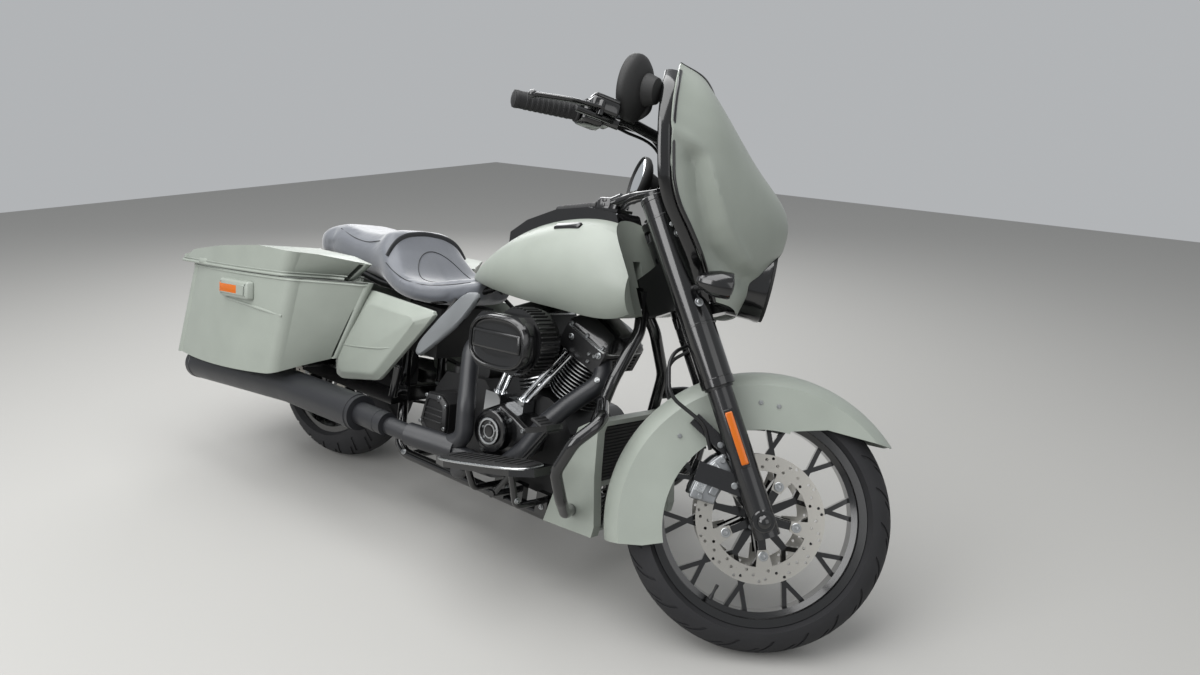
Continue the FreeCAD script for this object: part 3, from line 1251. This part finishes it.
RIM_BACK = (-500.0, 592.0)
RIM_FRONT = (420.0, 668.0)


def rim_height(x):
    return RIM_BACK[1] + (RIM_FRONT[1] - RIM_BACK[1]) * (x - RIM_BACK[0]) / (RIM_FRONT[0] - RIM_BACK[0])


def slanted_floor(lift):
    """Big wedge under the bag's floor, which rises inward over the muffler."""
    def face(x):
        base = 262.0 + 0.118 * (x + 484.0) + lift
        return Part.makePolygon([V(x, 180, 100), V(x, 460, 100), V(x, 460, base - 0.33 * 56.0),
                                 V(x, 180, base + 0.33 * 224.0), V(x, 180, 100)])
    return shape(loft([face(-600.0), face(500.0)], True))


def saddlebags():
    wall = float(S.bag_wall)
    under_lid = [(RIM_BACK[0], RIM_BACK[1]), (RIM_FRONT[0], RIM_FRONT[1]), (RIM_FRONT[0], 900.0), (RIM_BACK[0], 900.0)]
    above = side_plate(under_lid, 900.0, 0.0)
    outer = cut(bag_loft(0.0, 200.0, 700.0), slanted_floor(0.0), above)
    inner = cut(bag_loft(wall, 200.0, 720.0), slanted_floor(wall))
    tub = cut(outer, inner)
    node("saddlebag_left", group(tub), "machine")
    node("saddlebag_right", mirror(tub), "machine")

    # height above the rim line at the rear and front of the lid
    gap = float(S.lid_gap)
    lid_side = [(RIM_BACK[0], RIM_BACK[1] + gap), (RIM_FRONT[0], RIM_FRONT[1] + gap), (420.0, 700.0),
                (350.0, 716.0), (250.0, 728.0), (60.0, 724.0), (-160.0, 690.0), (-380.0, 646.0), (-430.0, 624.0),
                (-500.0, 612.0)]
    hollow_side = [(RIM_BACK[0] - 20, RIM_BACK[1] - 20), (RIM_FRONT[0] + 20, RIM_FRONT[1] - 20), (420.0, 690.0),
                   (350.0, 709.0), (250.0, 721.0), (60.0, 717.0), (-160.0, 683.0), (-376.0, 639.0),
                   (-424.0, 617.0), (-520.0, 604.0)]
    cap = common(bag_loft(-7.0, 560.0, 760.0), side_plate(lid_side, 900.0, 0.0))
    void = common(bag_loft(1.5, 560.0, 760.0), side_plate(hollow_side, 900.0, 0.0))
    lid = cut(cap, void)
    node("lid_left", group(lid), "lid_left")
    node("lid_right", mirror(lid), "lid_right")


# Guards, controls and the stand

def chin():
    """Body-coloured sides that frame an oil cooler and a grille ahead of the engine."""
    side = side_plate([(1120.0, 168.0), (1280.0, 176.0), (1284.0, 205.0), (1262.0, 330.0), (1252.0, 440.0),
                       (1258.0, 468.0), (1238.0, 474.0), (1190.0, 440.0), (1172.0, 380.0)], 30.0, -172.0)
    bottom = block((1190.0, 0.0, 171.0), (120.0, 320.0, 6.0))
    middle = block((1232.0, 0.0, 296.0), (20.0, 316.0, 14.0))
    top = block((1236.0, 0.0, 462.0), (30.0, 316.0, 12.0))
    links = [block((1176.0, y, 230.0), (50.0, 26.0, 26.0)) for y in (-146.0, 146.0)]
    rails = [frame_rail(side_sign, 0.4) for side_sign in (-1, 1)]
    guard = guard_tube(0.5)
    node("chin_fairing", cut(fuse(side, mirror(side), bottom, middle, top, *links), *rails, guard, mirror(guard)),
         "machine")
    core = block((1229.0, 0.0, 379.4), (22.0, 313.4, 152.4))
    fins = [block((1241.5, 0.0, 312.0 + 9.0 * i), (3.2, 300.0, 3.0)) for i in range(16)]
    low_grille = [block((1234.0, 0.0, 190.0 + 14.0 * i), (4.0, 313.4, 4.0)) for i in range(7)]
    posts = [block((1234.0, -140.0 + 28.0 * i, 231.6), (3.0, 4.0, 114.4)) for i in range(11)]
    node("oil_cooler", group(cut(fuse(core, *fins), *rails), fuse(*low_grille, *posts)), "machine")


def guard_tube(grow):
    points = [V(1206, -132, 506), V(1256, -190, 520), V(1330, -284, 506), V(1296, -336, 450), V(1256, -338, 366),
              V(1262, -310, 296), V(1236, -250, 240), V(1180, -138, 214)]
    return pipe(points, S.guard_radius + grow, 50.0)


def engine_guard():
    node("engine_guard", pair(cut(guard_tube(0.0), frame_rail(-1, 0.3))), "machine")


def footboards():
    y = -float(S.board_place)
    turn = FreeCAD.Rotation(V(0, 1, 0), -11.5)
    half_l, half_w = float(S.board_length) / 2, float(S.board_width) / 2
    outline = [(-half_l, -half_w + 30.0), (-half_l + 60.0, -half_w), (half_l - 60.0, -half_w), (half_l, -half_w + 26.0),
               (half_l, half_w), (-half_l, half_w)]
    board = plate("XY_Plane", outline, 20.0)
    board.Placement = FreeCAD.Placement(V(1030, y, 312), turn)
    arms = [pipe([V(x, -150, 204), V(x, -264, 208), V(x, -306, z)], 9.0, 30.0)
            for x, z in ((930.0, 290.0), (1086.0, 322.0))]
    feet = [block((x, -151.0, 195.0), (40.0, 22.0, 62.0)) for x in (930.0, 1086.0)]
    node("footboards", pair(cut(fuse(board, *arms, *feet), frame_rail(-1, 0.3))), "machine")


def foot_controls():
    lever = fuse(rod(V(1000, -257, 214), V(1150, -257, 432), 7.0),
                 block((1158.0, -284.0, 440.0), (70.0, 60.0, 14.0), FreeCAD.Rotation(V(0, 1, 0), -20.0)),
                 rod(V(1000, -268, 214), V(1000, -150, 208), 9.0), block((1000.0, -151.0, 195.0), (34.0, 22.0, 62.0)))
    shift = fuse(rod(V(1000, 257, 214), V(1160, 257, 404), 7.0), rod(V(1160, 244, 404), V(1160, 300, 404), 11.0),
                 rod(V(1000, 268, 214), V(1000, 150, 208), 9.0), block((1000.0, 151.0, 195.0), (34.0, 22.0, 62.0)))
    lever, shift = cut(lever, frame_rail(-1, 0.3)), cut(shift, frame_rail(1, 0.3))
    peg = fuse(rod(V(476, -156, 352), V(500, -206, 346), 9.0), rod(V(500, -206, 346), V(512, -208, 440), 13.0),
               block((478.0, -158.0, 352.0), (70.0, 12.0, 40.0)), rod(V(470, -156, 360), V(398, -78, 380), 8.0))
    clear = frame_rail(-1, 0.3)
    pegs = cut(peg, clear)
    node("foot_controls", group(lever, shift, pegs, mirror(pegs)), "machine")


def side_stand():
    stance = machine_stance()
    down = stance.inverse().Rotation.multVec(V(0, 0, -1))
    foot_aim = STAND_PIVOT + V(44, 168, -100)
    world = stance.multVec(foot_aim)
    foot = stance.inverse().multVec(V(world.x, world.y, 0))
    sole = drum(tuple(foot), tuple(-down), 26.0, 9.0)
    leg = pipe([STAND_PIVOT + STAND_AXIS * 4.5, STAND_PIVOT + V(12, 24, -26), foot - down * 16.0,
                foot - down * 4.0], 11.0, 40.0)
    eye = rod(STAND_PIVOT - STAND_AXIS * 8.0, STAND_PIVOT + STAND_AXIS * 18.0, 19.0)
    bore = rod(STAND_PIVOT - STAND_AXIS * 30.0, STAND_PIVOT + STAND_AXIS * 30.0, STAND_PIN + 0.05)
    node("side_stand", cut(fuse(sole, leg, eye), bore), "side_stand")


# How the machine stands

def lowest(centre, axis, ring, crown):
    """Height of the lowest point of a tyre whose section is round."""
    return centre.z - ring * math.sqrt(max(0.0, 1 - axis.z ** 2)) - crown


def steer(degrees):
    """Placement that turns the fork about the steering axis."""
    return FreeCAD.Placement(V(0, 0, 0), FreeCAD.Rotation(STEER_DIR, degrees), STEER_FOOT)


def machine_stance():
    """Lean on the stand, with the pitch that lets both tyres touch the ground."""
    pitch = 0.0
    steered = steer(float(S.steer_stop))
    front, rear = vec(FRONT), vec(REAR)
    for _ in range(30):
        turn = FreeCAD.Rotation(V(1, 0, 0), -float(S.lean)).multiply(
            FreeCAD.Rotation(V(0, 1, 0), math.degrees(pitch)))
        stance = FreeCAD.Placement(turn.multVec(-rear), turn)
        wheel = stance.multVec(steered.multVec(front))
        wheel_axis = turn.multVec(steered.Rotation.multVec(V(0, 1, 0)))
        front_low = lowest(wheel, wheel_axis, float(S.front_tyre_radius) - float(S.front_crown), float(S.front_crown))
        rear_low = lowest(stance.multVec(rear), turn.multVec(V(0, 1, 0)),
                          float(S.rear_tyre_radius) - float(S.rear_crown), float(S.rear_crown))
        pitch += (front_low - rear_low) / float(S.wheelbase)
    return FreeCAD.Placement(stance.Base - V(0, 0, rear_low), turn)


front_wheel()
rear_wheel()
fork_legs()
fork_covers()
triple_clamps()
handlebar()
mirrors()
front_fender()
fairing()
turn_signals()
front_calipers()
brake_hoses()
frame()
swingarm()
shocks()
drive_belt()
rear_caliper()
engine()
engine_covers()
air_cleaner()
exhausts()
tank()
seat()
rear_fender()
side_covers()
saddlebags()
chin()
engine_guard()
footboards()
foot_controls()
side_stand()
doc.recompute()

# Placements: the machine leans, and what steers turns on its axis first
stance = machine_stance()
steered = stance.multiply(steer(float(S.steer_stop)))
RIDES = {"fork": steered, "front_wheel": steered}
low = V(1e9, 1e9, 1e9)
high = V(-1e9, -1e9, -1e9)
for label, piece, ride, local in NODES:
    piece.Placement = RIDES.get(ride, stance).multiply(local)
    box = piece.Shape.optimalBoundingBox(False, False)
    low = V(min(low.x, box.XMin), min(low.y, box.YMin), min(low.z, box.ZMin))
    high = V(max(high.x, box.XMax), max(high.y, box.YMax), max(high.z, box.ZMax))
shift = FreeCAD.Placement(V(-(low.x + high.x) / 2, -(low.y + high.y) / 2, 0), FreeCAD.Rotation())
for label, piece, ride, local in NODES:
    piece.Placement = shift.multiply(piece.Placement)

faults = [o.Name for o in doc.Objects if "Invalid" in o.State or "Error" in o.State]
for label, piece, ride, local in NODES:
    if piece.Shape.isNull() or not piece.Shape.isValid() or not piece.Shape.Solids:
        faults.append(label)
print("box", [round(c, 1) for c in (*low, *high)], "nodes", len(NODES))
world = shift.multiply(stance)
world_fork = shift.multiply(steered)


def say(name, base, direction, place):
    point, axis = place.multVec(vec(base)), place.Rotation.multVec(vec(direction))
    print("place", name, *[round(c, 4) for c in (*point, *axis)])


say("steering", on_axis(640.0), STEER_DIR, world)
say("front_wheel_spin", FRONT, (0, 1, 0), world_fork)
say("rear_wheel_spin", REAR, (0, 1, 0), world)
say("side_stand_fold", STAND_PIVOT, STAND_AXIS, world)
lid_slope = (RIM_FRONT[1] - RIM_BACK[1]) / (RIM_FRONT[0] - RIM_BACK[0])
for name, side in (("lid_left_hinge", 1), ("lid_right_hinge", -1)):
    say(name, (-100.0, side * (float(S.bag_outer) + 9.0), rim_height(-100.0) + 1.0), V(1, 0, lid_slope).normalize(), world)
say("fuel_door_hinge", (1094.0, 0.0, 989.0), (0, 1, 0), world)
say("forward", (0, 0, 0), (1, 0, 0), world)
say("upward", (0, 0, 0), (0, 0, 1), world)
say("plate", (-378.0, 0.0, 404.0), FreeCAD.Rotation(V(0, 1, 0), 14.0).multVec(V(1, 0, 0)), world)
for name, side in (("grip_left", 1), ("grip_right", -1)):
    middle, along = (GRIP_START + GRIP_END) * 0.5, (GRIP_END - GRIP_START).normalize()
    say(name, V(middle.x, side * middle.y, middle.z), V(along.x, side * along.y, along.z), world_fork)
for name, side in (("bag_left", 1), ("bag_right", -1)):
    say(name, (-150.0, side * 310.0, 470.0), (1, 0, 0), world)
for label, piece, ride, local in NODES:
    print("node", label, ride, len(piece.Shape.Solids), round(piece.Shape.Volume / 1e6, 3))
if faults:
    raise RuntimeError("pieces that failed: %s" % ", ".join(faults))
for label, piece, ride, local in NODES:
    piece.Shape.exportStep("parts/%s.step" % label)
